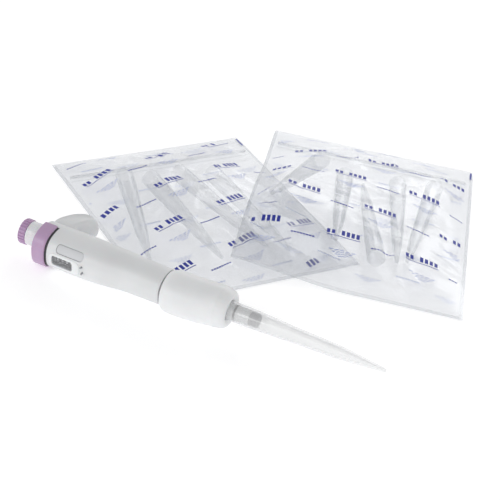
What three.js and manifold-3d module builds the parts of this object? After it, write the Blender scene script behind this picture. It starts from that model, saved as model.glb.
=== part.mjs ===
// Pipette set: a large single-channel air-displacement pipette lying on its side with a
// long tip mounted, and two press-seal bags of spare tips behind it. Millimetres, +Z up.
//
// The pipette is drawn in its own frame: x is the station along its axis, counted towards the
// tip from just beyond the button, y points to the display side and z across the body.
import * as THREE from "three";
import { mergeVertices } from "three/addons/utils/BufferGeometryUtils.js";
import Module from "manifold-3d";

const wasm = await Module();
wasm.setup();

// ---- driving dimensions -------------------------------------------------------------
const GAP = 0.3; // clearance kept between neighbouring pieces

const TIP_LENGTH = 120;
// [distance from the tip's rim, outer radius]
const TIP_PROFILE = [[0, 7.3], [3, 7.15], [21, 7.05], [48, 5.95], [82, 5], [104, 3], [TIP_LENGTH, 1.3]];
const TIP_BORE = [[0, 6.5], [21, 6.25], [82, 4.2], [TIP_LENGTH, 0.6]];

const CAP_RADIUS = 9.7;
const CAP_START = 1.3;
const CAP_END = 7.2;
const CAP_RIBS = 24;
const STEM_RADIUS = 9.2;
const STEM_END = 20.8;
const STEM_BORE = 7.6;

const EJECTOR_TOP = 19.8; // the ejector's collar around the stem
const EJECTOR_END = 30.6;
const EJECTOR_PLATE = 1.7;
const EJECTOR_WALL = 1;
const EJECTOR_STROKE = 8;

const HANDLE_TOP = 20.6; // the back half; the front half starts a stroke lower
const HANDLE_FRONT_TOP = EJECTOR_TOP + EJECTOR_PLATE + EJECTOR_STROKE + 0.8;
const HANDLE_DECK = 33.5; // underside of the handle's top wall
const HANDLE_END = 122.8;
const HANDLE_WALL = 1.4;
const SPLIT = -1; // y of the cut between the collar's half and the hook's half
// [station, mean radius, shift towards the display, flattening]
const HANDLE_SECTIONS = [
  [HANDLE_TOP, 14.9, 2.6, 0.04], [42, 14.95, 2.6, 0.04], [58, 15.1, 2.5, 0.04], [76, 14.6, 2.1, 0.035],
  [94, 13.6, 1.2, 0.03], [108, 13.3, 1.4, 0.03], [HANDLE_END, 12.9, 1.6, 0.035],
];
const SLEEVE_START = HANDLE_END + 0.8;
const SLEEVE_END = 174;
const SLEEVE_SECTIONS = [
  [SLEEVE_START, 12.9, 1.6, 0.035], [125.2, 14.3, 2.5, 0.045], [128.6, 15.6, 2.7, 0.055],
  [134, 16, 2.7, 0.055], [150, 15.9, 1.9, 0.035], [165.6, 15.5, 0, 0], [166.2, 15.4, 0, 0],
  [170.5, 14.5, 0, 0], [173.2, 13.1, 0, 0], [SLEEVE_END, 11.9, 0, 0],
];
const SLEEVE_WALL = 1.5;
const SLEEVE_FLOOR = 168; // inside of the sleeve's end wall
const MOUTH_RADIUS = 7.7;
const PUSH_RADIUS = 6.7; // the ledge that pushes the tip's rim
const TIP_START = 171.5;

const ROD_RADIUS = 2;
const DRIVE_RADIUS = 4.2;
const AXLE_Y = 10.2; // the counter's axle, between the rod and the display
const WHEEL_RADIUS = 5.2;
const WHEEL_WIDTH = 3.6;
const WHEEL_START = 38.6;
const GEAR_START = 53.5;
const GEAR_WIDTH = 3;
const CARRIER_START = 36.4;
const CARRIER_END = 58.1;
const PUSH_ROD_Y = 9;
const PUSH_ROD_Z = 9.5;
const PUSH_ROD_END_Y = 11.6;
const CYLINDER_RADIUS = 9.8;
const PISTON_RADIUS = 8.5;
const CYLINDER_START = 105;
const CONE_START = 162;
const CONE_END = 189;
const CONE_CHANNEL = 2.5;

const PIPETTE_ROLL = THREE.MathUtils.degToRad(187); // display side level, a little downwards
const PIPETTE_HEIGHT = 16.3; // axis above the table
const BUTTON_X = -132.2; // the button's end on the object's own X axis
const PIPETTE_Y = -156.2;

const FILM = 0.3;
const FILM_CELL = 18;
const ZIP_INSET = 26; // zip below the bag's mouth
const ZIP_HEIGHT = 4.2; // room between the films at the zip
const SEAL = 10; // margin where the films come together
const DRAPE_FLAT = 12; // the film stays up this far beside a tip
const DRAPE_FALL = 34;
const REST_ON = 17; // nearest the bags come to the pipette's axis
const TUCK = 14;
// Each bag: its mouth's left corner, the turn of its mouth and of its sides (a limp bag lies a
// little askew), and its tips as rim and point [across, down].
const BAGS = [
  {
    name: "bag_1",
    corner: [-180.7, -40.2],
    turn: THREE.MathUtils.degToRad(54.1),
    side: THREE.MathUtils.degToRad(54.1),
    width: 173,
    length: 207,
    tips: [[[46, 42], [16, 157]], [[64, 53], [69, 173]], [[90, 51], [110, 169]], [[117, 60], [125, 180]]],
  },
  {
    name: "bag_2",
    corner: [-57.7, 134.8],
    turn: THREE.MathUtils.degToRad(13.3),
    side: THREE.MathUtils.degToRad(16.2),
    width: 179,
    length: 230,
    tips: [
      [[48, 52], [19, 167]], [[70, 70], [75, 190]], [[108, 190], [86, 72]], [[115, 62], [124, 181]],
      [[146, 56], [132, 175]],
    ],
  },
];

// ---- materials ----------------------------------------------------------------------
const violet = [0.62, 0.42, 0.66];
const shellGrey = [0.86, 0.87, 0.87];

function material(color, roughness = 0.5, metalness = 0, opacity = 1) {
  return new THREE.MeshStandardMaterial({
    color: new THREE.Color(...color),
    roughness,
    metalness,
    opacity,
    transparent: opacity < 1,
  });
}

// ---- solids -------------------------------------------------------------------------
function solid(geometry) {
  const bare = geometry.clone();
  bare.deleteAttribute("normal");
  bare.deleteAttribute("uv");
  const merged = mergeVertices(bare, 1e-4);
  const position = merged.attributes.position;
  const corner = [0, 1, 2].map(() => new THREE.Vector3());
  const triangles = [];
  let volume = 0;
  for (let i = 0; i < merged.index.count; i += 3) {
    const ids = [0, 1, 2].map((k) => merged.index.getX(i + k));
    if (new Set(ids).size === 3) {
      triangles.push(ids);
      corner.forEach((point, k) => point.fromBufferAttribute(position, ids[k]));
      volume += corner[0].dot(corner[1].cross(corner[2]));
    }
  }
  const order = volume < 0 ? triangles.map((ids) => ids.reverse()) : triangles;
  const triVerts = new Uint32Array(order.flat());
  return new wasm.Manifold(new wasm.Mesh({ numProp: 3, vertProperties: position.array, triVerts }));
}

function geometryOf(manifold) {
  const { vertProperties, triVerts } = manifold.getMesh();
  const geometry = new THREE.BufferGeometry();
  geometry.setAttribute("position", new THREE.BufferAttribute(vertProperties, 3));
  geometry.setIndex(new THREE.BufferAttribute(triVerts, 1));
  geometry.computeVertexNormals();
  return geometry;
}

function piece(name, manifold, look) {
  const mesh = new THREE.Mesh(geometryOf(manifold), look);
  mesh.name = name;
  return mesh;
}

// A solid turned about the x axis from [station, radius] points; the outline closes on itself.
function turned(outline, segments = 24) {
  const points = [...outline, outline[0]].map(([x, r]) => new THREE.Vector2(r, x));
  const geometry = new THREE.LatheGeometry(points, segments);
  geometry.rotateZ(-Math.PI / 2);
  return geometry;
}

function ring(start, end, inner, outer, segments = 24) {
  return solid(turned([[start, inner], [start, outer], [end, outer], [end, inner]], segments));
}

function disc(start, end, radius, segments = 24) {
  return solid(turned([[start, 0], [start, radius], [end, radius], [end, 0]], segments));
}

function box(low, high) {
  const size = high.map((value, i) => value - low[i]);
  const geometry = new THREE.BoxGeometry(...size);
  geometry.translate(...low.map((value, i) => value + size[i] / 2));
  return solid(geometry);
}

function moved(geometry, y, z) {
  geometry.translate(0, y, z);
  return solid(geometry);
}

// Value of one column of a section table at a station, straight between the stated stations.
function columnAt(sections, x, column) {
  const last = sections.length - 1;
  const next = sections.findIndex((section) => section[0] > x);
  const i = next < 0 ? last : Math.max(next, 1);
  const [a, b] = [sections[i - 1], sections[i]];
  const share = THREE.MathUtils.clamp((x - a[0]) / (b[0] - a[0]), 0, 1);
  return a[column] + (b[column] - a[column]) * share;
}

// Makes a turned solid's round sections oval: wider towards the display, with fuller corners.
function oval(geometry, sections, fullness) {
  const position = geometry.attributes.position;
  for (let i = 0; i < position.count; i += 1) {
    const x = position.getX(i);
    const y = position.getY(i);
    const z = position.getZ(i);
    const radius = Math.hypot(y, z) || 1;
    const flat = columnAt(sections, x, 3);
    const power = 2 + fullness * flat;
    const bulge = ((Math.abs(y) / radius) ** power + (Math.abs(z) / radius) ** power) ** (-1 / power);
    position.setY(i, columnAt(sections, x, 2) + y * bulge * (1 + flat));
    position.setZ(i, z * bulge * (1 - flat));
  }
  return geometry;
}

// The solid inside a section table's skin, moved in or out by `offset`, between two stations.
function body(sections, offset, start, end, fullness) {
  const stations = sections.map((section) => section[0]).filter((x) => x > start && x < end);
  const outline = [start, ...stations, end].map((x) => [x, columnAt(sections, x, 1) + offset]);
  const geometry = turned([[start, 0], ...outline, [end, 0]], 32);
  return solid(oval(geometry, sections, fullness));
}

const handleBody = (offset, start, end) => body(HANDLE_SECTIONS, offset, start, end, 11);
const sleeveBody = (offset, start, end) => body(SLEEVE_SECTIONS, offset, start, end, 3);

class Helix extends THREE.Curve {
  constructor(start, end, radius, turns) {
    super();
    Object.assign(this, { start, end, radius, turns });
  }

  getPoint(t, target = new THREE.Vector3()) {
    const angle = t * this.turns * 2 * Math.PI;
    const x = this.start + (this.end - this.start) * t;
    return target.set(x, this.radius * Math.cos(angle), this.radius * Math.sin(angle));
  }
}

function wire(path, radius, steps, sides = 6) {
  const section = new THREE.Shape();
  section.absarc(0, 0, radius, 0, 2 * Math.PI, false);
  const options = { steps, extrudePath: path, curveSegments: sides / 2, bevelEnabled: false };
  return new THREE.ExtrudeGeometry(section, options);
}

function spring(start, end, radius, wireRadius, turns) {
  const path = new Helix(start + wireRadius, end - wireRadius, radius, turns);
  return wire(path, wireRadius, Math.round(turns * 8), 4);
}

// ---- control button and dial ----------------------------------------------------------
function buttonCap() {
  const edge = 0.8;
  const rim = [[CAP_START + edge, CAP_RADIUS], [CAP_END, CAP_RADIUS]];
  let cap = solid(turned([[CAP_START, 0], [CAP_START, CAP_RADIUS - edge], ...rim, [CAP_END, 0]], 48));
  for (let i = 0; i < CAP_RIBS; i += 1) {
    const groove = new THREE.BoxGeometry(CAP_END, 0.7, 1.1);
    groove.translate(CAP_START + CAP_END / 2 + edge, CAP_RADIUS, 0);
    groove.rotateX((i * 2 * Math.PI) / CAP_RIBS);
    cap = cap.subtract(solid(groove));
  }
  return cap;
}

function buttonStem() {
  const start = CAP_END + GAP;
  const rim = [[start, STEM_RADIUS], [STEM_END, STEM_RADIUS], [STEM_END, STEM_BORE]];
  const outline = [[start, 0], ...rim, [10, STEM_BORE], [10, 0]];
  return solid(turned(outline, 48));
}

function driveSleeve() {
  const start = 10 + GAP;
  const bore = ROD_RADIUS + GAP;
  const flange = [[start, bore], [start, 7.2], [12.5, 7.2], [12.5, DRIVE_RADIUS]];
  return solid(turned([...flange, [66, DRIVE_RADIUS], [66, bore]]));
}

// ---- plunger ---------------------------------------------------------------------------
const operatingRod = () => disc(11, 117.7, ROD_RADIUS, 16);
const stopCollar = () => ring(66.4, 69.4, ROD_RADIUS + GAP, 8);

function piston() {
  const relief = 1.2;
  return solid(turned([
    [118, 0], [118, 5.5], [120, PISTON_RADIUS], [123, PISTON_RADIUS], [124, PISTON_RADIUS - relief],
    [127, PISTON_RADIUS - relief], [128, PISTON_RADIUS], [130, PISTON_RADIUS], [130, 0],
  ]));
}

const pistonSeal = () => ring(130.3, 132.3, 4, PISTON_RADIUS + 0.1);

// ---- handle ----------------------------------------------------------------------------
const WINDOW = { start: 36.8, end: 54.1, half: 4.2 };
const COVER = { start: 39.3, end: 61.8, half: 3.6, turn: THREE.MathUtils.degToRad(-38) };

// A rectangular prism through the handle's wall, turned about the body's centre line.
function wallPrism({ start, end, half, turn = 0 }, shrink) {
  const deep = 14;
  const prism = new THREE.BoxGeometry(end - start - 2 * shrink, deep, 2 * (half - shrink));
  prism.translate((start + end) / 2, 8 + deep / 2, 0);
  prism.rotateX(turn);
  prism.translate(0, 2.6, 0);
  return solid(prism);
}

function handleShell() {
  const below = HANDLE_DECK + 1;
  const rodHole = turned([[EJECTOR_TOP, 0], [EJECTOR_TOP, 1.5], [below, 1.5], [below, 0]], 16);
  return handleBody(0, HANDLE_TOP, HANDLE_END)
    .subtract(handleBody(-HANDLE_WALL, HANDLE_DECK, HANDLE_END + 1))
    .subtract(box([0, SPLIT, -30], [HANDLE_FRONT_TOP, 30, 30]))
    .subtract(disc(0, below, 10.9, 40))
    .subtract(moved(rodHole, PUSH_ROD_Y, PUSH_ROD_Z))
    .subtract(wallPrism(WINDOW, 0))
    .subtract(wallPrism(COVER, 0));
}

function wallPatch(opening, outset, thickness) {
  const { start, end } = opening;
  const outside = handleBody(outset, start - 1, end + 1);
  const inside = handleBody(outset - thickness, start - 2, end + 2);
  return outside.subtract(inside).intersect(wallPrism(opening, GAP));
}

// The finger rest: a side outline in x and y, rounded across, seated on the handle's back.
function fingerHook() {
  const halfWidth = 9.5;
  const round = 3;
  const outline = new THREE.Shape();
  outline.moveTo(24.5, -6);
  outline.lineTo(21.8, -12);
  outline.splineThru([
    new THREE.Vector2(24, -19), new THREE.Vector2(29, -25.5), new THREE.Vector2(36, -30),
    new THREE.Vector2(42.5, -30.8), new THREE.Vector2(46, -28.5),
  ]);
  outline.splineThru([
    new THREE.Vector2(45.4, -27.4), new THREE.Vector2(41.4, -25), new THREE.Vector2(38.4, -20),
    new THREE.Vector2(37.2, -14), new THREE.Vector2(38.6, -6),
  ]);
  const bevel = { bevelSize: round, bevelThickness: round, bevelSegments: 3 };
  const options = { depth: 2 * (halfWidth - round), curveSegments: 4, ...bevel };
  const geometry = new THREE.ExtrudeGeometry(outline, options);
  geometry.translate(0, 0, round - halfWidth);
  return solid(geometry).subtract(handleBody(GAP, HANDLE_TOP - 1, 80));
}

const stemBearing = () => ring(HANDLE_FRONT_TOP + GAP, HANDLE_DECK, STEM_RADIUS + GAP, 10.9 - GAP, 40);

function adjustmentScrew() {
  const screw = new THREE.CylinderGeometry(1.6, 1.6, 2.5, 12);
  screw.translate(50, 12, 0);
  screw.rotateX(COVER.turn);
  screw.translate(0, 1, 0);
  return solid(screw);
}

// ---- counter ---------------------------------------------------------------------------
function counterCarrier() {
  const ends = [[CARRIER_START, CARRIER_START + 1.1], [CARRIER_END - 1.1, CARRIER_END]];
  const plates = ends.map(([a, b]) => box([a, 7.6, -4], [b, 14, 4]));
  const strip = box([CARRIER_START, 8.5, 5.6], [CARRIER_END, 11.5, 6.6]);
  const arms = ends.map(([a, b]) => box([a, 8.5, 3], [b, 11.5, 6.6]));
  const whole = [...plates, ...arms].reduce((sum, next) => sum.add(next), strip);
  return whole.subtract(moved(turned([[34, 0], [34, 1.1], [60, 1.1], [60, 0]], 16), AXLE_Y, 0));
}

const atAxle = (outline, segments) => moved(turned(outline, segments), AXLE_Y, 0);
const axleLine = [[CARRIER_START, 0], [CARRIER_START, 0.8], [CARRIER_END, 0.8], [CARRIER_END, 0]];
const counterAxle = () => atAxle(axleLine, 12);

function axleRing(start, width, radius) {
  const end = start + width;
  return atAxle([[start, 1.1], [start, radius], [end, radius], [end, 1.1]], 30);
}

const wheelStart = (place) => WHEEL_START + place * (WHEEL_WIDTH + GAP);

// ---- ejector ---------------------------------------------------------------------------
function ejectorCollar() {
  const outer = handleBody(EJECTOR_WALL + 0.5, EJECTOR_TOP, EJECTOR_END);
  const room = handleBody(0.5, EJECTOR_TOP + EJECTOR_PLATE, EJECTOR_END + 1);
  const backHalf = box([0, -40, -40], [60, SPLIT + 0.5, 40]);
  return outer.subtract(room).subtract(disc(0, 60, CAP_RADIUS + 0.5, 40)).subtract(backHalf);
}

function ejectorRod() {
  const path = new THREE.CurvePath();
  const stops = [
    [EJECTOR_TOP + EJECTOR_PLATE + GAP, PUSH_ROD_Y, PUSH_ROD_Z], [80, PUSH_ROD_Y, PUSH_ROD_Z],
    [104, PUSH_ROD_END_Y, 0], [126, PUSH_ROD_END_Y, 0],
  ].map((stop) => new THREE.Vector3(...stop));
  for (let i = 1; i < stops.length; i += 1) {
    path.add(new THREE.LineCurve3(stops[i - 1], stops[i]));
  }
  const flange = moved(turned([[57, 0], [57, 2], [58, 2], [58, 0]], 12), PUSH_ROD_Y, PUSH_ROD_Z);
  return solid(wire(path, 1, 18, 8)).add(flange);
}

const springSeat = () => box([75, 6.6, 7.9], [77, 10.5, 10.6])
  .subtract(moved(turned([[74, 0], [74, 1.3], [78, 1.3], [78, 0]], 12), PUSH_ROD_Y, PUSH_ROD_Z));
const sleeveClip = () => box([126.3, 10.4, -3], [130, 15, 3]);

function ejectorSleeve() {
  const inside = sleeveBody(-SLEEVE_WALL, SLEEVE_START - 1, SLEEVE_FLOOR);
  const lip = SLEEVE_END + 0.5;
  return sleeveBody(0, SLEEVE_START, SLEEVE_END)
    .subtract(inside)
    .subtract(disc(SLEEVE_FLOOR - 1, SLEEVE_END, PUSH_RADIUS, 40))
    .subtract(disc(TIP_START - GAP, lip, MOUTH_RADIUS, 40))
    .subtract(solid(turned([[172.4, 0], [172.4, MOUTH_RADIUS], [lip, 11], [lip, 0]], 40)));
}

// ---- lower part ------------------------------------------------------------------------
function cylinder() {
  const bore = PISTON_RADIUS + 0.3;
  const groove = { start: 177, end: 179, radius: 5.2 };
  return solid(turned([
    [CYLINDER_START, bore], [CYLINDER_START, 10.1], [108, 10.1],
    [108, CYLINDER_RADIUS], [158, CYLINDER_RADIUS],
    [CONE_START, 6.3], [TIP_START, 6.05], [groove.start, 5.85], [groove.start, groove.radius],
    [groove.end, groove.radius], [groove.end, 5.8], [CONE_END, 5.4], [CONE_END, CONE_CHANNEL],
    [158, CONE_CHANNEL], [154, bore],
  ], 28));
}

const coneRing = () => solid(turned([[177.3, 5.5], [177.3, 5.8], [178, 6.1], [178.7, 5.8], [178.7, 5.5]]));
const coneFilter = () => disc(CONE_END + GAP, 195.5, 5.2, 24);

// ---- tips ------------------------------------------------------------------------------
const tipSolid = (segments) => turned([...TIP_PROFILE, ...TIP_BORE.toReversed()], segments);

const tipRadiusAt = (distance) => columnAt(TIP_PROFILE, distance, 1);

// ---- bags ------------------------------------------------------------------------------
// Films that would reach under the pipette are pressed together beside it instead.
function kept(y) {
  const nearest = PIPETTE_Y + REST_ON;
  return y > nearest + TUCK ? y : nearest + TUCK * Math.exp((y - nearest - TUCK) / TUCK);
}

function bagPoint(bag, across, down) {
  const x = bag.corner[0] + Math.cos(bag.turn) * across + Math.sin(bag.side) * down;
  const y = bag.corner[1] + Math.sin(bag.turn) * across - Math.cos(bag.side) * down;
  return [x, kept(y)];
}

function bagPlace(bag, x, y) {
  const [dx, dy] = [x - bag.corner[0], y - bag.corner[1]];
  const square = Math.cos(bag.side - bag.turn);
  return [
    (dx * Math.cos(bag.side) + dy * Math.sin(bag.side)) / square,
    (dx * Math.sin(bag.turn) - dy * Math.cos(bag.turn)) / square,
  ];
}

// Each tip's axis: rim and point in plan, with the heights at which it rests on `floor`.
function restingTip(bag, [rim, point], floor) {
  const [a, b] = [bagPoint(bag, ...rim), bagPoint(bag, ...point)];
  const run = Math.hypot(b[0] - a[0], b[1] - a[1]) / TIP_LENGTH;
  const at = (t) => [a[0] + ((b[0] - a[0]) * t) / run, a[1] + ((b[1] - a[1]) * t) / run];
  const around = [[0, 0], [9, 0], [-9, 0], [0, 9], [0, -9]];
  const highest = (x, y) => Math.max(...around.map(([dx, dy]) => floor(x + dx, y + dy)));
  const support = (t) => highest(...at(t)) + FILM + GAP + tipRadiusAt(t * TIP_LENGTH);
  const rimHeight = Math.max(support(0), support(0.1), support(0.2)) + 0.3;
  let pointHeight = 0;
  for (let t = 0.2; t <= 1.001; t += 0.05) {
    pointHeight = Math.max(pointHeight, rimHeight + (support(t) + 0.2 - rimHeight) / t);
  }
  const height = (t) => rimHeight + (pointHeight - rimHeight) * t;
  return { at, height, rim: [...at(0), height(0)], point: [...at(1), height(1)] };
}

// Height of the film that covers the tips, above `floor`, at a place in plan.
function coverHeight(bag, tips, floor, x, y) {
  const [across, down] = bagPlace(bag, x, y);
  const base = floor(x, y);
  let rise = 0;
  for (const tip of tips) {
    const [ax, ay] = tip.rim;
    const [bx, by] = tip.point;
    const share = ((x - ax) * (bx - ax) + (y - ay) * (by - ay)) / ((bx - ax) ** 2 + (by - ay) ** 2);
    const t = THREE.MathUtils.clamp(share, 0, 1);
    const radius = tipRadiusAt(t * TIP_LENGTH);
    const away = Math.hypot(x - ax - (bx - ax) * t, y - ay - (by - ay) * t) - radius - DRAPE_FLAT;
    const top = tip.height(t) + radius + FILM + 2 - base;
    rise = Math.max(rise, top * (1 - THREE.MathUtils.smoothstep(away, 0, DRAPE_FALL)));
  }
  const zip = ZIP_HEIGHT * (1 - THREE.MathUtils.smoothstep(Math.abs(down - ZIP_INSET), 7, 20));
  const edge = Math.min(across, bag.width - across, down, bag.length - down);
  return base + FILM + GAP + Math.max(rise, zip) * THREE.MathUtils.smoothstep(edge, 0, SEAL);
}

// Cuts the cells of a box's underside along the same diagonals as those of its top.
function matchDiagonals(geometry) {
  const { start, count } = geometry.groups[5];
  for (let i = start; i < start + count; i += 6) {
    const [a, b, d, , c] = [0, 1, 2, 3, 4].map((k) => geometry.index.getX(i + k));
    [a, b, c, a, c, d].forEach((id, k) => geometry.index.setX(i + k, id));
  }
}

// A film as a thin closed sheet over the whole bag, at the height `lift` gives.
function film(bag, lift) {
  const cells = [bag.width, bag.length].map((side) => Math.round(side / FILM_CELL));
  const geometry = new THREE.BoxGeometry(bag.width, bag.length, FILM, cells[0], cells[1], 1);
  geometry.translate(bag.width / 2, -bag.length / 2, FILM / 2);
  matchDiagonals(geometry);
  const position = geometry.attributes.position;
  for (let i = 0; i < position.count; i += 1) {
    const [x, y] = bagPoint(bag, position.getX(i), -position.getY(i));
    position.setXYZ(i, x, y, lift(x, y) + position.getZ(i));
  }
  return solid(geometry);
}

function zipTrack(bag, floor, low, high, halfWidth) {
  const inset = SEAL + 4;
  const track = new THREE.BoxGeometry(bag.width - 2 * inset, 2 * halfWidth, high - low, 10, 1, 1);
  track.translate(bag.width / 2, -ZIP_INSET, (low + high) / 2);
  const position = track.attributes.position;
  for (let i = 0; i < position.count; i += 1) {
    const across = position.getX(i);
    const [x, y] = bagPoint(bag, across, -position.getY(i));
    position.setXYZ(i, x, y, floor(...bagPoint(bag, across, ZIP_INSET)) + FILM + position.getZ(i));
  }
  return solid(track);
}

function layTip(name, { rim, point }) {
  const mesh = piece(name, solid(tipSolid(10)), material([0.93, 0.94, 0.95], 0.15, 0, 0.5));
  const direction = new THREE.Vector3(...point).sub(new THREE.Vector3(...rim)).normalize();
  mesh.quaternion.setFromUnitVectors(new THREE.Vector3(1, 0, 0), direction);
  mesh.position.set(...rim);
  return mesh;
}

function makeBag(bag, floor) {
  const tips = bag.tips.map((ends) => restingTip(bag, ends, floor));
  const cover = (x, y) => coverHeight(bag, tips, floor, x, y);
  const clear = material([0.93, 0.94, 0.96], 0.2, 0, 0.3);
  const group = new THREE.Group();
  group.add(piece(`${bag.name}_back_film`, film(bag, floor), clear));
  group.add(piece(`${bag.name}_front_film`, film(bag, cover), clear));
  group.add(piece(`${bag.name}_zip_rib`, zipTrack(bag, floor, 0.9, 1.9, 1.2), clear));
  group.add(piece(`${bag.name}_zip_groove`, zipTrack(bag, floor, 2.2, 3.2, 1.8), clear));
  tips.forEach((tip, i) => group.add(layTip(`${bag.name}_tip_${i + 1}`, tip)));
  return { group, cover };
}

// Bag 2 lies partly on bag 1: its underside bridges the top of bag 1 and falls to the table beside it.
function floorOver(bag, cover) {
  const heightAt = (x, y) => {
    const [across, down] = bagPlace(bag, x, y);
    const outside = Math.hypot(
      Math.max(-across, 0, across - bag.width),
      Math.max(-down, 0, down - bag.length),
    );
    const onTop = 1 - THREE.MathUtils.smoothstep(outside, 12, 34);
    const inner = [
      THREE.MathUtils.clamp(across, 0, bag.width),
      THREE.MathUtils.clamp(down, 0, bag.length),
    ];
    return onTop * (cover(...bagPoint(bag, ...inner)) + FILM + GAP + 0.5);
  };
  const reach = [-0.8, -0.4, 0, 0.4, 0.8].map((share) => share * FILM_CELL);
  return (x, y) => Math.max(...reach.flatMap((dx) => reach.map((dy) => heightAt(x + dx, y + dy))));
}

// ---- assembly --------------------------------------------------------------------------
const steel = material([0.72, 0.73, 0.75], 0.25, 0.9);
const white = material([0.92, 0.92, 0.9], 0.45);
const grey = material([0.75, 0.76, 0.77], 0.5);
const dark = material([0.2, 0.2, 0.22], 0.7);
const shell = material(shellGrey, 0.4);
const purple = material(violet, 0.4);

const pipette = new THREE.Group();
pipette.add(piece("button_cap", buttonCap(), purple));
pipette.add(piece("button_stem", buttonStem(), material([0.88, 0.89, 0.89], 0.35, 0, 0.8)));
pipette.add(piece("drive_sleeve", driveSleeve(), white));
pipette.add(piece("operating_rod", operatingRod(), steel));
pipette.add(piece("stop_collar", stopCollar(), steel));
pipette.add(piece("piston", piston(), grey));
pipette.add(piece("piston_seal", pistonSeal(), dark));
pipette.add(piece("return_spring", solid(spring(69.7, 96, 5, 0.6, 6)), steel));
pipette.add(piece("handle_shell", handleShell(), shell));
pipette.add(piece("finger_hook", fingerHook(), shell));
pipette.add(piece("display_window", wallPatch(WINDOW, -0.1, 1.1), material([0.85, 0.88, 0.9], 0.1, 0, 0.4)));
pipette.add(piece("adjustment_cover", wallPatch(COVER, -0.4, 1), grey));
pipette.add(piece("adjustment_screw", adjustmentScrew(), dark));
pipette.add(piece("stem_bearing", stemBearing(), grey));
pipette.add(piece("counter_carrier", counterCarrier(), grey));
pipette.add(piece("counter_axle", counterAxle(), steel));
pipette.add(piece("wheel_ones", axleRing(wheelStart(0), WHEEL_WIDTH, WHEEL_RADIUS), dark));
pipette.add(piece("wheel_tenths", axleRing(wheelStart(1), WHEEL_WIDTH, WHEEL_RADIUS), dark));
pipette.add(piece("wheel_hundredths", axleRing(wheelStart(2), WHEEL_WIDTH, WHEEL_RADIUS), dark));
pipette.add(piece("wheel_fine_scale", axleRing(wheelStart(3), 1.8, WHEEL_RADIUS), dark));
pipette.add(piece("counter_pinion", axleRing(GEAR_START, GEAR_WIDTH, 2), steel));
pipette.add(piece("drive_gear", ring(GEAR_START, GEAR_START + GEAR_WIDTH, DRIVE_RADIUS + GAP, 7.8), white));
pipette.add(piece("volume_stop_nut", ring(59.6, 63.6, DRIVE_RADIUS + 0.4, 11), steel));
pipette.add(piece("blow_out_washer", ring(83.8, 85.3, 6.2, 9.8), steel));
pipette.add(piece("blow_out_spring", solid(spring(85.6, 96, 8, 0.55, 3)), steel));
pipette.add(piece("spring_seat", ring(96.3, 98.3, ROD_RADIUS + 0.5, 10.2), grey));
pipette.add(piece("coupling_ring", ring(99, 104.7, 7.5, 10.2), grey));
pipette.add(piece("cylinder_cone", cylinder(), grey));
pipette.add(piece("cone_ring", coneRing(), dark));
pipette.add(piece("cone_filter", coneFilter(), dark));
pipette.add(piece("ejector_collar", ejectorCollar(), purple));
pipette.add(piece("ejector_rod", ejectorRod(), steel));
pipette.add(piece("ejector_spring_seat", springSeat(), grey));
const ejectorSpring = spring(58.3, 74.7, 1.7, 0.3, 6);
pipette.add(piece("ejector_spring", moved(ejectorSpring, PUSH_ROD_Y, PUSH_ROD_Z), steel));
pipette.add(piece("sleeve_clip", sleeveClip(), grey));
pipette.add(piece("ejector_sleeve", ejectorSleeve(), shell));
const mountedTip = piece("mounted_tip", solid(tipSolid(24)), material([0.93, 0.94, 0.95], 0.1, 0, 0.4));
mountedTip.position.x = TIP_START;
pipette.add(mountedTip);
pipette.rotation.x = PIPETTE_ROLL;
pipette.position.set(BUTTON_X, PIPETTE_Y, PIPETTE_HEIGHT);

const table = () => 0;
const first = makeBag(BAGS[0], table);
const second = makeBag(BAGS[1], floorOver(BAGS[0], first.cover));

const pipetteSet = new THREE.Group();
pipetteSet.add(pipette, first.group, second.group);

export default pipetteSet;
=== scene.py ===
import math
import bmesh
import bpy
import numpy as np
from mathutils import Matrix, Quaternion, Vector


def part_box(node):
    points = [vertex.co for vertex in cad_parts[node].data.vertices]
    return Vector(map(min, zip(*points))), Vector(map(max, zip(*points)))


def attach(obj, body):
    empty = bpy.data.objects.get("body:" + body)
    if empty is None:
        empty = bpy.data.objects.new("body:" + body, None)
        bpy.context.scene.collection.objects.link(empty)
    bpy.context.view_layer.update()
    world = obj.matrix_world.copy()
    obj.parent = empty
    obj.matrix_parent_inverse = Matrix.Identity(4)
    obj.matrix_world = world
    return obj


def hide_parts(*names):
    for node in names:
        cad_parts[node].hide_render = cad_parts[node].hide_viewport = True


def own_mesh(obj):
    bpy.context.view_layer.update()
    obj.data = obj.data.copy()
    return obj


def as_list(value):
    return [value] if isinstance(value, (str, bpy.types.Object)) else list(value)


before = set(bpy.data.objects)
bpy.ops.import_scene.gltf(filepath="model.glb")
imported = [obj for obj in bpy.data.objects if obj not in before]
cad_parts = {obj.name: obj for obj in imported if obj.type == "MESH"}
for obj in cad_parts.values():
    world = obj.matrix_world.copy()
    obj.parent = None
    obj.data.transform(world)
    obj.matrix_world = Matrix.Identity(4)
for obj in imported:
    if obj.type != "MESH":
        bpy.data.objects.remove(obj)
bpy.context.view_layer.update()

MM = 0.001

# ---- the pipette's own frame: x is the station along it, y faces the display ----------
CAP_START = 1.3  # station of the button cap's end
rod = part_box("operating_rod")
AXIS = (rod[0] + rod[1]) / 2
AXIS.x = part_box("button_cap")[0].x - CAP_START * MM
ROLL = math.radians(187)
PIPETTE = Matrix.Translation(AXIS) @ Matrix.Rotation(ROLL, 4, "X") @ Matrix.Scale(MM, 4)

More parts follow.
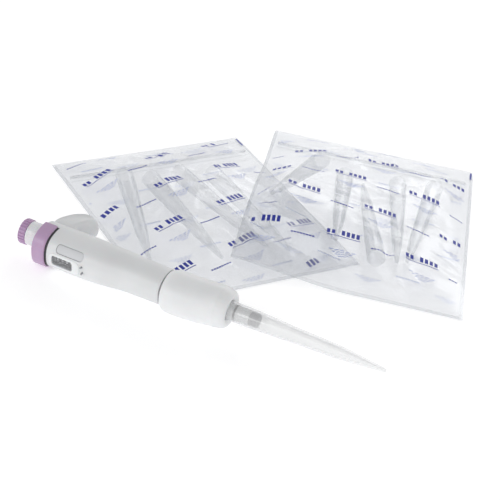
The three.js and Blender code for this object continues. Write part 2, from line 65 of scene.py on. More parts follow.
# [station, mean radius, shift towards the display, flattening]
HANDLE = np.array([
    [20.6, 14.9, 2.6, 0.04], [42, 14.95, 2.6, 0.04], [58, 15.1, 2.5, 0.04], [76, 14.6, 2.1, 0.035],
    [94, 13.6, 1.2, 0.03], [108, 13.3, 1.4, 0.03], [122.8, 12.9, 1.6, 0.035],
])
SLEEVE = np.array([
    [123.6, 12.9, 1.6, 0.035], [125.2, 14.3, 2.5, 0.045], [128.6, 15.6, 2.7, 0.055], [134, 16, 2.7, 0.055],
    [150, 15.9, 1.9, 0.035], [165.6, 15.5, 0, 0], [174, 15.3, 0, 0],
])
HANDLE_FULLNESS = 11
SLEEVE_FULLNESS = 3
HANDLE_TOP, HANDLE_FRONT_TOP, HANDLE_DECK, HANDLE_END = 20.6, 30.3, 33.5, 122.8
COLLAR_TOP, COLLAR_END, COLLAR_PLATE = 19.8, 30.6, 1.7
SPLIT = -1
WINDOW = {"start": 36.8, "end": 54.1, "half": 4.2, "turn": 0}
COVER = {"start": 39.3, "end": 61.8, "half": 3.6, "turn": math.radians(-38)}
SECTION_CENTRE = 2.6
SMOOTH = math.radians(32)


# ---- mesh helpers --------------------------------------------------------------------
def link(name, mesh):
    obj = bpy.data.objects.new(name, mesh)
    bpy.context.scene.collection.objects.link(obj)
    return obj


def clean(mesh, closed=True):
    work = bmesh.new()
    work.from_mesh(mesh)
    bmesh.ops.remove_doubles(work, verts=work.verts, dist=1e-4)
    if closed:
        bmesh.ops.recalc_face_normals(work, faces=work.faces)
    work.to_mesh(mesh)
    work.free()
    return mesh


def mesh_of(name, points, faces, closed=True):
    mesh = bpy.data.meshes.new(name)
    mesh.from_pydata([tuple(p) for p in points], [], faces)
    return clean(mesh, closed)


def solid(name, points, faces):
    return link(name, mesh_of(name, points, faces))


def rings_solid(name, rings, loop=False):
    """Joins rings of points; the ends are capped, or the last ring joins the first."""
    count, sides = len(rings), len(rings[0])
    points = np.concatenate(rings)
    faces = []
    for i in range(count if loop else count - 1):
        a, b = i * sides, ((i + 1) % count) * sides
        for k in range(sides):
            n = (k + 1) % sides
            faces.append((a + k, a + n, b + n, b + k))
    if not loop:
        faces.append(tuple(range(sides)))
        faces.append(tuple(range((count - 1) * sides, count * sides)))
    return solid(name, points, faces)


def lathe(name, outline, sides=96, groove=None):
    """Turns a closed [station, radius] outline about the axis; groove(station, angle) lowers it."""
    angles = np.arange(sides) * 2 * math.pi / sides
    rings = []
    for x, r in outline:
        radius = np.full(sides, float(r))
        if groove is not None:
            radius = radius - groove(x, r, angles)
        station = np.full(sides, float(x))
        rings.append(np.stack([station, radius * np.cos(angles), radius * np.sin(angles)], 1))
    return rings_solid(name, rings, loop=True)


def rounded(outline, radius, steps=4):
    """Rounds the corners of a closed outline."""
    points = [Vector(p) for p in outline]
    count = len(points)
    result = []
    for i, corner in enumerate(points):
        before = points[i - 1] - corner
        after = points[(i + 1) % count] - corner
        reach = min(radius, before.length * 0.45, after.length * 0.45)
        a, b = corner + before.normalized() * reach, corner + after.normalized() * reach
        for k in range(steps + 1):
            t = k / steps
            result.append(tuple((1 - t) ** 2 * a + 2 * t * (1 - t) * corner + t ** 2 * b))
    return result


def applied(obj):
    """Replaces a helper's mesh with its own after its modifiers."""
    evaluated = obj.evaluated_get(bpy.context.evaluated_depsgraph_get())
    mesh = bpy.data.meshes.new_from_object(evaluated)
    obj.modifiers.clear()
    obj.data = mesh
    return obj


def combine(obj, other, operation="DIFFERENCE"):
    modifier = obj.modifiers.new("boolean", "BOOLEAN")
    modifier.object = other
    modifier.operation = operation
    modifier.solver = "EXACT"
    bpy.context.view_layer.update()
    applied(obj)
    bpy.data.objects.remove(other)
    return obj


def bevelled(obj, width, segments=3, angle=35):
    modifier = obj.modifiers.new("bevel", "BEVEL")
    modifier.width = width
    modifier.segments = segments
    modifier.limit_method = "ANGLE"
    modifier.angle_limit = math.radians(angle)
    modifier.harden_normals = False
    bpy.context.view_layer.update()
    return applied(obj)


def finished(obj, matrix, material, smooth=SMOOTH):
    obj.data.transform(matrix)
    obj.data.polygons.foreach_set("use_smooth", [True] * len(obj.data.polygons))
    obj.data.set_sharp_from_angle(angle=smooth)
    obj.data.materials.clear()
    obj.data.materials.append(material)
    return obj


def place(obj, body, material, nodes=(), matrix=PIPETTE, smooth=SMOOTH):
    finished(obj, matrix, material, smooth)
    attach(obj, body)
    if nodes:
        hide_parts(*nodes)
    return obj


# ---- sections ------------------------------------------------------------------------
def curve_at(table, column, x):
    """A smooth curve through one column of a table, with no overshoot."""
    xs, ys = table[:, 0], table[:, column]
    h = np.diff(xs)
    d = np.diff(ys) / h
    slope = np.zeros(len(xs))
    same = d[:-1] * d[1:] > 0
    slope[1:-1] = np.where(same, 2 * d[:-1] * d[1:] / np.where(same, d[:-1] + d[1:], 1), 0)
    slope[0], slope[-1] = d[0], d[-1]
    i = np.clip(np.searchsorted(xs, x, side="right") - 1, 0, len(xs) - 2)
    t = np.clip((x - xs[i]) / h[i], 0, 1)
    return (
        ys[i] * (2 * t**3 - 3 * t**2 + 1) + ys[i + 1] * (3 * t**2 - 2 * t**3)
        + h[i] * slope[i] * (t**3 - 2 * t**2 + t) + h[i] * slope[i + 1] * (t**3 - t**2)
    )


def section(table, fullness, x, offset, angles):
    radius, shift, flat = (float(curve_at(table, c, np.array(x))) for c in (1, 2, 3))
    power = 2 + fullness * flat
    y, z = np.cos(angles), np.sin(angles)
    bulge = (np.abs(y) ** power + np.abs(z) ** power) ** (-1 / power)
    reach = (radius + offset) * bulge
    station = np.full(len(angles), float(x))
    return np.stack([station, shift + reach * y * (1 + flat), reach * z * (1 - flat)], 1)


def skin(name, table, fullness, start, end, offset, edge=0.0, step=1.5, sides=128):
    """A solid inside a table's skin, with its two end rims rounded by `edge`."""
    angles = np.arange(sides) * 2 * math.pi / sides
    steps = 4 if edge else 0
    corner = []
    for k in range(steps):
        turn = k / steps * math.pi / 2
        corner.append((edge * (1 - math.cos(turn)), edge * (1 - math.sin(turn))))
    stations = np.linspace(start + edge, end - edge, max(2, round((end - start) / step)))
    places = [(start + inward, offset - drop) for inward, drop in corner]
    places += [(x, offset) for x in stations]
    places += [(end - inward, offset - drop) for inward, drop in reversed(corner)]
    return rings_solid(name, [section(table, fullness, x, grow, angles) for x, grow in places])


def handle_skin(name, start, end, offset, **more):
    return skin(name, HANDLE, HANDLE_FULLNESS, start, end, offset, **more)


def sleeve_skin(name, start, end, offset, **more):
    return skin(name, SLEEVE, SLEEVE_FULLNESS, start, end, offset, **more)


def block(name, low, high):
    (x0, y0, z0), (x1, y1, z1) = low, high
    rings = [np.array([[x, y0, z0], [x, y1, z0], [x, y1, z1], [x, y0, z1]], float) for x in (x0, x1)]
    return rings_solid(name, rings)


def rod_solid(name, start, end, radius, sides=64):
    angles = np.arange(sides) * 2 * math.pi / sides
    round_ = [radius * np.cos(angles), radius * np.sin(angles)]
    return rings_solid(name, [np.stack([np.full(sides, float(x)), *round_], 1) for x in (start, end)])


def prism(name, opening, grow, corner, low=8, high=26):
    """A prism with rounded corners through the wall at an opening, turned about the section's centre."""
    x0, x1, half = opening["start"] - grow, opening["end"] + grow, opening["half"] + grow
    outline = rounded([(x0, -half), (x1, -half), (x1, half), (x0, half)], corner * 2, 6)
    rings = [np.array([(x, y, z) for x, z in outline]) for y in (low, high)]
    obj = rings_solid(name, rings)
    turn = Matrix.Translation((0, SECTION_CENTRE, 0)) @ Matrix.Rotation(opening["turn"], 4, "X")
    obj.data.transform(turn @ Matrix.Translation((0, -SECTION_CENTRE, 0)))
    return obj


# ---- materials -----------------------------------------------------------------------
class Graph:
    """A material and short calls to fill it."""

    def __init__(self, name):
        self.material = bpy.data.materials.new(name)
        self.material.use_nodes = True
        self.tree = self.material.node_tree
        self.tree.nodes.clear()

    def add(self, kind, inputs=None, **settings):
        made = self.tree.nodes.new("ShaderNode" + kind)
        for key, value in settings.items():
            setattr(made, key, value)
        for key, value in (inputs or {}).items():
            if isinstance(value, bpy.types.NodeSocket):
                self.tree.links.new(value, made.inputs[key])
            else:
                made.inputs[key].default_value = value
        return made

    def noise(self, scale, detail=3.0, stretch=(1, 1, 1)):
        place_ = self.add("TexCoord").outputs["Object"]
        scaled = self.add("VectorMath", {0: place_, 1: stretch}, operation="MULTIPLY").outputs[0]
        return self.add("TexNoise", {"Vector": scaled, "Scale": scale, "Detail": detail}).outputs[0]

    def ramp(self, value, low, high):
        made = self.add("ValToRGB", {"Fac": value})
        for element, (position, color) in zip(made.color_ramp.elements, (low, high)):
            element.position = position
            element.color = (*color, 1)
        return made.outputs[0]

    def span(self, value, low, high, from_low=0.3, from_high=0.7):
        inputs = {"Value": value, "From Min": from_low, "From Max": from_high}
        inputs |= {"To Min": low, "To Max": high}
        return self.add("MapRange", inputs).outputs[0]

    def bump(self, height, distance, strength=1.0):
        return self.add("Bump", {"Height": height, "Distance": distance, "Strength": strength}).outputs[0]

    def done(self, shader):
        self.add("OutputMaterial", {"Surface": shader})
        return self.material


def plastic(name, color, roughness, grain=0.000012, change=0.03, scatter=0.0, coat=0.0, spread=0.001):
    g = Graph(name)
    tone = g.noise(45)
    darker, lighter = [c * (1 - change) for c in color], [min(1, c * (1 + change)) for c in color]
    shade = g.ramp(tone, (0.3, darker), (0.7, lighter))
    surface = g.bump(g.noise(1400, 2.0), grain, 0.6)
    inputs = {
        "Base Color": shade, "Roughness": g.span(g.noise(300), roughness - 0.04, roughness + 0.05),
        "Normal": surface, "Subsurface Weight": scatter, "Subsurface Scale": spread, "Coat Weight": coat,
    }
    return g.done(g.add("BsdfPrincipled", inputs).outputs[0])


def metal(name, color, roughness):
    g = Graph(name)
    streak = g.noise(60, 2.0, (30, 1, 1))
    inputs = {
        "Base Color": g.ramp(streak, (0.3, [c * 0.9 for c in color]), (0.7, color)), "Metallic": 1.0,
        "Roughness": g.span(streak, roughness - 0.06, roughness + 0.08),
        "Normal": g.bump(streak, 0.00001, 0.5),
    }
    return g.done(g.add("BsdfPrincipled", inputs).outputs[0])


def clear(name, tint, rim, body, haze, gloss_roughness, edge=0.5, wave=0.0, wave_scale=30.0):
    """A thin clear plastic: it lets light through, darkens to its rim and shines."""
    g = Graph(name)
    normal = g.bump(g.noise(wave_scale, 2.0), wave, 1.0) if wave else None
    facing_inputs = {"Blend": edge}
    gloss_inputs = {"Roughness": gloss_roughness, "Color": (1, 1, 1, 1)}
    if normal is not None:
        for inputs in (facing_inputs, gloss_inputs):
            inputs["Normal"] = normal
    facing = g.add("LayerWeight", facing_inputs).outputs["Facing"]  # 0 face on, 1 at a glancing angle
    through = g.add("BsdfTransparent", {"Color": g.ramp(facing, (0.0, tint), (1.0, rim))}).outputs[0]
    milk_color = g.ramp(g.noise(40), (0.3, [c * 0.97 for c in body]), (0.7, body))
    milk = g.add("BsdfPrincipled", {"Base Color": milk_color, "Roughness": 0.35}).outputs[0]
    share = g.span(facing, haze[0], haze[1], 0.0, 1.0)
    base = g.add("MixShader", {0: share, 1: through, 2: milk}).outputs[0]
    gloss = g.add("BsdfAnisotropic", gloss_inputs).outputs[0]
    steep = g.add("Math", {0: facing, 1: 5.0}, operation="POWER").outputs[0]
    shine = g.add("Math", {0: steep, 1: 0.7, 2: 0.06}, operation="MULTIPLY_ADD").outputs[0]
    return g.done(g.add("MixShader", {0: shine, 1: base, 2: gloss}).outputs[0])


VIOLET = plastic("violet_moulded", (0.47, 0.31, 0.49), 0.38, scatter=0.08, coat=0.1)
LILAC = plastic("lilac_moulded", (0.47, 0.32, 0.49), 0.33, scatter=0.08, coat=0.15)
SHELL = plastic("shell_moulded", (0.72, 0.73, 0.74), 0.36, scatter=0.05)
PALE = plastic("pale_moulded", (0.80, 0.81, 0.82), 0.33, scatter=0.05)
INNER = plastic("inner_moulded", (0.62, 0.63, 0.65), 0.5)
STEM = plastic("stem_milky", (0.80, 0.81, 0.82), 0.25, scatter=0.1, coat=0.2)
DARK = plastic("dark_moulded", (0.045, 0.045, 0.05), 0.5)
DIGIT = plastic("digit_print", (0.85, 0.85, 0.83), 0.5)
GREY_MARK = plastic("grey_print", (0.35, 0.36, 0.38), 0.5)
RUBBER = plastic("seal_rubber", (0.03, 0.03, 0.03), 0.7, grain=0.00003)
FILTER = plastic("porous_filter", (0.34, 0.34, 0.36), 0.85, grain=0.00015, change=0.3)
STEEL = metal("turned_steel", (0.62, 0.63, 0.65), 0.3)
INK = plastic("blue_ink", (0.02, 0.035, 0.33), 0.45)
INK_LIGHT = plastic("blue_ink_light", (0.25, 0.31, 0.62), 0.45)
INK_FAINT = plastic("blue_ink_faint", (0.52, 0.58, 0.80), 0.45)
# name, tint face on, tint at the rim, colour of the haze, share of the haze, gloss roughness, edge
WINDOW_CLEAR = clear(
    "window_clear", (0.97, 0.975, 0.98), (0.8, 0.82, 0.84), (0.8, 0.8, 0.82), (0.02, 0.2), 0.05,
)
TIP_CLEAR = clear(
    "tip_clear", (1, 1, 1), (0.90, 0.905, 0.915), (0.97, 0.975, 0.98), (0.18, 0.5), 0.12, 0.35,
)
LOOSE_CLEAR = clear(
    "loose_tip_clear", (1, 1, 1), (0.84, 0.85, 0.865), (0.96, 0.965, 0.97), (0.02, 0.2), 0.15, 0.3,
)
FILM_CLEAR = clear(
    "film_clear", (0.966, 0.968, 0.973), (0.84, 0.85, 0.865), (0.93, 0.935, 0.945), (0.03, 0.22),
    0.2, 0.4, wave=0.0006, wave_scale=60,
)
WELD_CLEAR = clear(
    "film_weld", (0.985, 0.988, 0.99), (0.8, 0.81, 0.83), (0.85, 0.86, 0.88), (0.06, 0.25), 0.2, 0.4,
)
ZIP_CLEAR = clear(
    "zip_clear", (0.985, 0.988, 0.99), (0.82, 0.83, 0.85), (0.93, 0.935, 0.94), (0.08, 0.3), 0.2, 0.4,
)


# ---- button, stem, collar --------------------------------------------------------------
CAP_RADIUS, STEM_RADIUS, STEM_END = 9.7, 9.2, 20.8


def cap_groove(x, r, angles):
    if r < CAP_RADIUS - 0.9 or x < CAP_START + 0.6:
        return 0 * angles
    wave = np.cos(24 * angles)
    return 0.75 * np.clip((wave + 0.25) / 0.5, 0, 1)


def button_cap():
    top = [(0.35, 0), (0.35, 6.6), (0.1, 7.0), (0, 7.6), (0, 8.6), (0.25, 9.25), (0.7, 9.6)]
    side = [(x, CAP_RADIUS) for x in (1.0, 2.2, 3.4, 4.6, 5.5)]
    outline = [(x + CAP_START, r) for x, r in (*top, *side, (5.9, 9.45), (5.9, 0))]
    obj = lathe("button_cap_moulding", outline, 384, cap_groove)
    place(obj, "dial", VIOLET, ["button_cap"], smooth=math.radians(50))


def button_stem():
    def lines(x, r, angles):
        lined = r > STEM_RADIUS - 0.05 and 8.6 < x < STEM_END - 0.3
        return 0.32 * (np.cos(44 * angles) > 0.3) if lined else 0 * angles

    start, r = 7.5, STEM_RADIUS
    foot = [(STEM_END - 0.4, r), (STEM_END, r - 0.2), (STEM_END, 7.6), (10, 7.6), (10, 0)]
    outline = [(start, 0), (start, r - 0.2), (start + 0.2, r), (8.5, r), (8.7, r), (14, r), *foot]
    obj = lathe("button_stem_moulding", outline, 528, lines)
    place(obj, "dial", STEM, ["button_stem"])


def ejector_collar():
    obj = handle_skin("ejector_collar_moulding", COLLAR_TOP, COLLAR_END, 1.5, edge=1.2)
    combine(obj, handle_skin("room", COLLAR_TOP + COLLAR_PLATE, COLLAR_END + 2, 0.5))
    combine(obj, rod_solid("bore", 10, 40, CAP_RADIUS + 0.5))
    combine(obj, block("back", (0, -40, -40), (60, SPLIT + 0.5, 40)))
    bevelled(obj, 0.45)
    place(obj, "ejector", LILAC, ["ejector_collar"])


# ---- handle ----------------------------------------------------------------------------
def handle_shell():
    obj = handle_skin("handle_moulding", HANDLE_TOP, HANDLE_END, 0, edge=0.8)
    combine(obj, handle_skin("room", HANDLE_DECK, HANDLE_END + 2, -1.4))
    combine(obj, block("front", (0, SPLIT, -30), (HANDLE_FRONT_TOP, 30, 30)))
    combine(obj, rod_solid("bore", 10, HANDLE_DECK + 1, 10.9))
    combine(obj, prism("window", WINDOW, 0, 1.2))
    combine(obj, prism("recess", COVER, 0, 1.5))
    bevelled(obj, 0.3, 2)
    place(obj, "handle", SHELL, ["handle_shell"])


def window_frame():
    """The raised pale rim round the display."""
    obj = handle_skin("window_rim", 30, 68, 0.35, edge=0)
    combine(obj, handle_skin("inside", 28, 70, -0.25))
    outer = {"start": 34.2, "end": 60.0, "half": 5.9, "turn": 0}
    combine(obj, prism("outer", outer, 0, 3), "INTERSECT")
    combine(obj, prism("inner", WINDOW, 0.02, 1.2))
    bevelled(obj, 0.25, 2)
    place(obj, "handle", PALE)


def wall_patch(name, opening, outset, thickness, material, node):
    start, end = opening["start"], opening["end"]
    obj = handle_skin(name, start - 1, end + 1, outset, step=0.8)
    combine(obj, handle_skin("inside", start - 2, end + 2, outset - thickness))
    combine(obj, prism("patch", opening, -0.3, 1.2), "INTERSECT")
    bevelled(obj, 0.12, 2)
    place(obj, "handle", material, [node])


HOOK_HALF, HOOK_ROUND, HOOK_RINGS = 9.5, 3, 12
# the finger rest's side outline as [station, y], down its outer side and back up its inner side
HOOK_OUTER = [
    (24.5, -6), (21.8, -12), (22.4, -15.8), (24, -19),
    (29, -25.5), (35.5, -29.5), (40.5, -30.4), (43.8, -29.4),
]
HOOK_INNER = [(44.8, -28), (43.8, -26.8), (41.4, -25), (38.4, -20), (37.2, -14), (38.6, -6)]


def flowing(control, steps):
    """A smooth line through control points."""
    points = [Vector(p) for p in control]
    last = len(points) - 1
    line = []
    for i in range(last):
        a, b, c, d = (points[min(max(k, 0), last)] for k in (i - 1, i, i + 1, i + 2))
        for k in range(steps):
            t = k / steps
            square, cube = (2 * a - 5 * b + 4 * c - d) * t**2, (3 * b - a - 3 * c + d) * t**3
            line.append(0.5 * (2 * b + (c - a) * t + square + cube))
    return [*line, points[-1]]


def hook_taper(x):
    """The finger rest narrows towards its end."""
    t = min(max((x - 35) / 13, 0), 1)
    return 1 - 0.42 * t * t


def finger_hook():
    """The finger rest: a side outline that swells outwards towards the middle of its width."""
    outline = flowing([*HOOK_OUTER, *HOOK_INNER], 6)
    count = len(outline)
    turns = sum(outline[i - 1].cross(outline[i]) for i in range(count))
    outward = []
    for i in range(count):
        tangent = (outline[(i + 1) % count] - outline[i - 1]).normalized()
        outward.append(Vector((tangent.y, -tangent.x)) * (1 if turns > 0 else -1))
    rings = []
    for k in range(HOOK_RINGS + 1):
        across = 2 * k / HOOK_RINGS - 1
        turn = across * math.pi / 2
        z = (HOOK_HALF - HOOK_ROUND) * across + HOOK_ROUND * math.sin(turn)
        swell = HOOK_ROUND * max(0, math.cos(turn)) ** 0.6 if 0 < k < HOOK_RINGS else 0
        rings.append(np.array([(*(p + o * swell), z * hook_taper(p.x)) for p, o in zip(outline, outward)]))
    obj = rings_solid("finger_rest", rings)
    combine(obj, handle_skin("inside", HANDLE_TOP - 8, 80, -0.3))
    place(obj, "handle", SHELL, ["finger_hook"], smooth=math.radians(60))


def painted_gap_shade():
    """A thin dark band over the handle's front just past the collar: painted shade for the shadow in the
    gap between the ejector collar and the front of the handle.
    """
    obj = handle_skin("collar_gap_painted_shade", COLLAR_END - 1.2, COLLAR_END + 1.5, 0.16, step=0.4)
    combine(obj, handle_skin("inside", COLLAR_END - 3, COLLAR_END + 4, -0.3))
    combine(obj, block("back", (0, -40, -40), (60, SPLIT + 0.5, 40)))
    combine(obj, block("top", (0, -40, -40), (HANDLE_FRONT_TOP + 0.1, 40, 40)))
    # painted shade: the dark colour stands in for the shadow in the gap beside the collar
    place(obj, "handle", DARK)


def handle_marks():
    """Two small dark dimples beyond the display."""
    for i, (x, turn) in enumerate(((62, -13), (62.8, 4))):
        obj = rod_solid(f"dimple_{i + 1}", 14, 17.9, 0.75, sides=32)
        obj.data.transform(Matrix.Rotation(math.radians(90), 4, "Z"))
        obj.data.transform(Matrix.Translation((x, 2.35, 0)) @ Matrix.Rotation(math.radians(turn), 4, "X"))
        bevelled(obj, 0.15, 2)
        place(obj, "handle", GREY_MARK)


# ---- counter ---------------------------------------------------------------------------
AXLE_Y, WHEEL_RADIUS, WHEEL_WIDTH, WHEEL_GAP, WHEEL_START = 10.2, 5.2, 3.6, 0.3, 38.6
SHOWN = (2, 5, 0)


def wheel(name, place_, body, shown):
    start = WHEEL_START + place_ * (WHEEL_WIDTH + WHEEL_GAP)
    end = start + WHEEL_WIDTH
    r = WHEEL_RADIUS
    outline = [(start, 1.1), (start, r - 0.2), (start + 0.2, r), (end - 0.2, r), (end, r - 0.2), (end, 1.1)]
    obj = lathe(f"{name}_ring", outline, 120)
    obj.data.transform(Matrix.Translation((0, AXLE_Y, 0)))
    place(obj, body, DARK, [name])
    for k in range(10):
        digit((start + end) / 2, str((shown + k) % 10), k * 2 * math.pi / 10, body, f"{name}_digit_{k}")


def digit(x, text, turn, body, name):
    """A numeral wrapped on a wheel's rim, upright when it faces the display."""
    curve = bpy.data.curves.new(name, "FONT")
    curve.body = text
    curve.size = 3.6
    curve.align_x = "CENTER"
    curve.align_y = "CENTER"
    curve.offset = 0.05
    source = bpy.data.objects.new(name + "_text", curve)
    bpy.context.scene.collection.objects.link(source)
    bpy.context.view_layer.update()
    mesh = bpy.data.meshes.new_from_object(source.evaluated_get(bpy.context.evaluated_depsgraph_get()))
    bpy.data.objects.remove(source)
    work = bmesh.new()
    work.from_mesh(mesh)
    bmesh.ops.triangulate(work, faces=work.faces)
    bmesh.ops.subdivide_edges(work, edges=[e for e in work.edges if e.calc_length() > 0.8], cuts=2)
    reach = WHEEL_RADIUS + 0.03
    for v in work.verts:
        angle = -v.co.y / reach + turn
        v.co = Vector((x + v.co.x, AXLE_Y + reach * math.cos(angle), reach * math.sin(angle)))
    work.to_mesh(mesh)
    work.free()
    place(link(name, mesh), body, DIGIT)


def fine_scale():
    start = WHEEL_START + 3 * (WHEEL_WIDTH + WHEEL_GAP)
    outline = [(start, 1.1), (start, WHEEL_RADIUS), (start + 1.8, WHEEL_RADIUS), (start + 1.8, 1.1)]
    obj = lathe("fine_scale_ring", outline, 120)
    obj.data.transform(Matrix.Translation((0, AXLE_Y, 0)))
    place(obj, "hundredths_wheel", DARK, ["wheel_fine_scale"])
    reach = WHEEL_RADIUS + 0.03
    for k in range(20):
        long_ = 1.5 if k % 2 == 0 else 0.9
        low, high = (start + 0.15, reach - 0.06, -0.12), (start + 0.15 + long_, reach, 0.12)
        tick = block(f"fine_tick_{k + 1}", low, high)
        turn = Matrix.Translation((0, AXLE_Y, 0)) @ Matrix.Rotation(k * 2 * math.pi / 20, 4, "X")
        tick.data.transform(turn)
        place(tick, "hundredths_wheel", DIGIT)


# ---- lower part ------------------------------------------------------------------------
TIP_START = 171.5
CONE_RIDGES = 7
FILTER_START, FILTER_END, FILTER_RADIUS = 189.3, 195.5, 5.2
MOUTH_RADIUS, LIP_RADIUS = 7.7, 11


def ejector_sleeve():
    obj = sleeve_skin("ejector_sleeve_moulding", SLEEVE[0, 0], SLEEVE[-1, 0], 0, step=0.6)
    combine(obj, sleeve_skin("room", 122, 168, -1.5))
    combine(obj, rod_solid("ledge", 166, 175, 6.7))
    combine(obj, rod_solid("mouth", TIP_START - 0.3, 176, MOUTH_RADIUS))
    combine(obj, lathe("recess", [(172.4, 0), (172.4, MOUTH_RADIUS), (174.5, LIP_RADIUS), (174.5, 0)], 96))
    curve = [(166, 15.35), (170.5, 14.5), (172.2, 13.8), (173.2, 13.1), (173.8, 12.3), (174.3, LIP_RADIUS)]
    combine(obj, lathe("chamfer", [*curve, (176, LIP_RADIUS), (176, 22), (166, 22)], 128))
    bevelled(obj, 0.35, 3)
    place(obj, "ejector", PALE, ["ejector_sleeve"], smooth=math.radians(40))


def cone_details():
    crown = [(177.3, 5.8), (177.6, 6.02), (178, 6.1), (178.4, 6.02), (178.7, 5.8)]
    outline = [(177.3, 5.5), *crown, (178.7, 5.5)]
    ring = lathe("cone_seal", outline, 96)
    place(ring, "handle", RUBBER, ["cone_ring"])
    for k in range(CONE_RIDGES):
        x, r = 180 + 1.2 * k, 5.78 - 0.03 * k
        outline = [(x, r - 0.3), (x + 0.1, r + 0.2), (x + 0.5, r + 0.2), (x + 0.6, r - 0.3)]
        ridge = lathe(f"cone_ridge_{k + 1}", outline, 96)
        place(ridge, "handle", PALE)
    start, end, r = FILTER_START, FILTER_END, FILTER_RADIUS
    side = [(start, r - 0.3), (start + 0.4, r), (end - 0.4, r), (end, r - 0.3)]
    plug = lathe("cone_filter_plug", [(start, 0), *side, (end, 0)], 96)
    place(plug, "handle", FILTER, ["cone_filter"])


# ---- tips ------------------------------------------------------------------------------
TIP_OUTSIDE = [
    (0, 7.0), (0.3, 7.28), (2.6, 7.28), (2.9, 7.15), (12, 7.12), (21, 7.05), (30, 6.7), (48, 5.95),
    (48.4, 5.8),
    (66, 5.38), (82, 5.0), (93, 4.1), (104, 3.0), (112, 2.15), (119.7, 1.35), (120, 1.2),
]
TIP_INSIDE = [
    (120, 0.6), (112, 1.15), (104, 1.95), (93, 3.1), (82, 4.2), (66, 4.75), (48, 5.3), (30, 6.0),
    (21, 6.25),
    (12, 6.35), (3, 6.45), (0.2, 6.55),
]


def tip_mesh(name, sides=72):
    return lathe(name, [*TIP_OUTSIDE, *TIP_INSIDE], sides)


def tip_pose(node):
    """A tip's matrix, from its CAD solid: x runs from its rim to its point."""
    points = np.array([v.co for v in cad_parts[node].data.vertices])
    centre = points.mean(0)
    direction = np.linalg.svd(points - centre)[2][0]
    along = (points - centre) @ direction
    ends = [points[along < along.min() + 2e-4], points[along > along.max() - 2e-4]]
    widths = [np.ptp(end, axis=0).max() for end in ends]
    rim, point = (ends if widths[0] > widths[1] else ends[::-1])
    start, finish_ = (0.5 * (end.min(0) + end.max(0)) for end in (rim, point))
    turn = Vector(finish_ - start).to_track_quat("X", "Z")
    return Matrix.Translation(start) @ turn.to_matrix().to_4x4() @ Matrix.Scale(MM, 4)


def tips():
    mounted = tip_mesh("mounted_tip_moulding", 128)
    mounted.data.transform(Matrix.Translation((TIP_START, 0, 0)))
    place(mounted, "tip", TIP_CLEAR, ["mounted_tip"])
    for bag, count in (("bag_1", 4), ("bag_2", 5)):
        for k in range(count):
            node = f"{bag}_tip_{k + 1}"
            place(tip_mesh(f"{node}_moulding"), bag, LOOSE_CLEAR, [node], tip_pose(node))


# ---- bags ------------------------------------------------------------------------------
# corner: the mouth's left corner; turn and side: the directions of mouth and sides, in degrees
BAGS = {
    "bag_1": {
        "corner": (-180.7, -40.2), "turn": 54.1, "side": 54.1, "width": 173, "length": 207, "tips": 4,
    },
    "bag_2": {
        "corner": (-57.7, 134.8), "turn": 13.3, "side": 16.2, "width": 179, "length": 230, "tips": 5,
    },
}
CELL = 1.7
BLOCKS = {0: 4.2, 1: 4.2, 3: 5.4, 4: 5.4, 5: 5.4, 6: 5.4}  # place in the row: height
BLOCK_PITCH, BLOCK_FOOT = 3.9, 1.9
REPEAT_ACROSS, REPEAT_DOWN, STAGGER = 63, 45, 27
REST_ON, TUCK = 17, 14
ZIP_INSET, ZIP_HEIGHT = 26, 3.6
BACK_STEPS, FRONT_STEPS = 500, 2600
PRESS = 0.004  # how far the bag's weight or its air moves a film at each step
FOLDS, BACK_FOLDS = 70, 60
FILM_CLEARANCE = 0.35


def tucked(y):
    """Draws in whatever would reach under the pipette, so that a bag stops short of it."""
    nearest = AXIS.y / MM + REST_ON
    squeezed = nearest + TUCK * np.exp(np.minimum(0, (y - nearest - TUCK) / TUCK))
    return np.where(y > nearest + TUCK, y, squeezed)


def plan(bag, across, down):
    turn, side = math.radians(bag["turn"]), math.radians(bag["side"])
    x = bag["corner"][0] + math.cos(turn) * across + math.sin(side) * down
    y = bag["corner"][1] + math.sin(turn) * across - math.cos(side) * down
    return x, tucked(y)


def place_in(bag, x, y):
    turn, side = math.radians(bag["turn"]), math.radians(bag["side"])
    dx, dy = x - bag["corner"][0], y - bag["corner"][1]
    square = math.cos(side - turn)
    across = (dx * math.cos(side) + dy * math.sin(side)) / square
    return across, (dx * math.sin(turn) - dy * math.cos(turn)) / square


def sample(grid, bag, across, down):
    """A film's height at places given across and down, straight between the grid's points."""
    rows, columns = grid.shape
    u = np.clip(across / bag["width"] * (columns - 1), 0, columns - 1.001)
    v = np.clip(down / bag["length"] * (rows - 1), 0, rows - 1.001)
    i, j = u.astype(int), v.astype(int)
    s, t = u - i, v - j
    return (
        grid[j, i] * (1 - s) * (1 - t) + grid[j, i + 1] * s * (1 - t)
        + grid[j + 1, i] * (1 - s) * t + grid[j + 1, i + 1] * s * t
    )


def average(z):
    """Each point's mean of its four neighbours, with free edges."""
    wide = np.pad(z, 1, mode="edge")
    return (wide[:-2, 1:-1] + wide[2:, 1:-1] + wide[1:-1, :-2] + wide[1:-1, 2:]) / 4


def tip_lines(name):
    lines = []
    for k in range(BAGS[name]["tips"]):
        matrix = tip_pose(f"{name}_tip_{k + 1}")
        rim, point = matrix @ Vector((0, 0, 0)) / MM, matrix @ Vector((120, 0, 0)) / MM
        lines.append((np.array(rim), np.array(point)))
    return lines


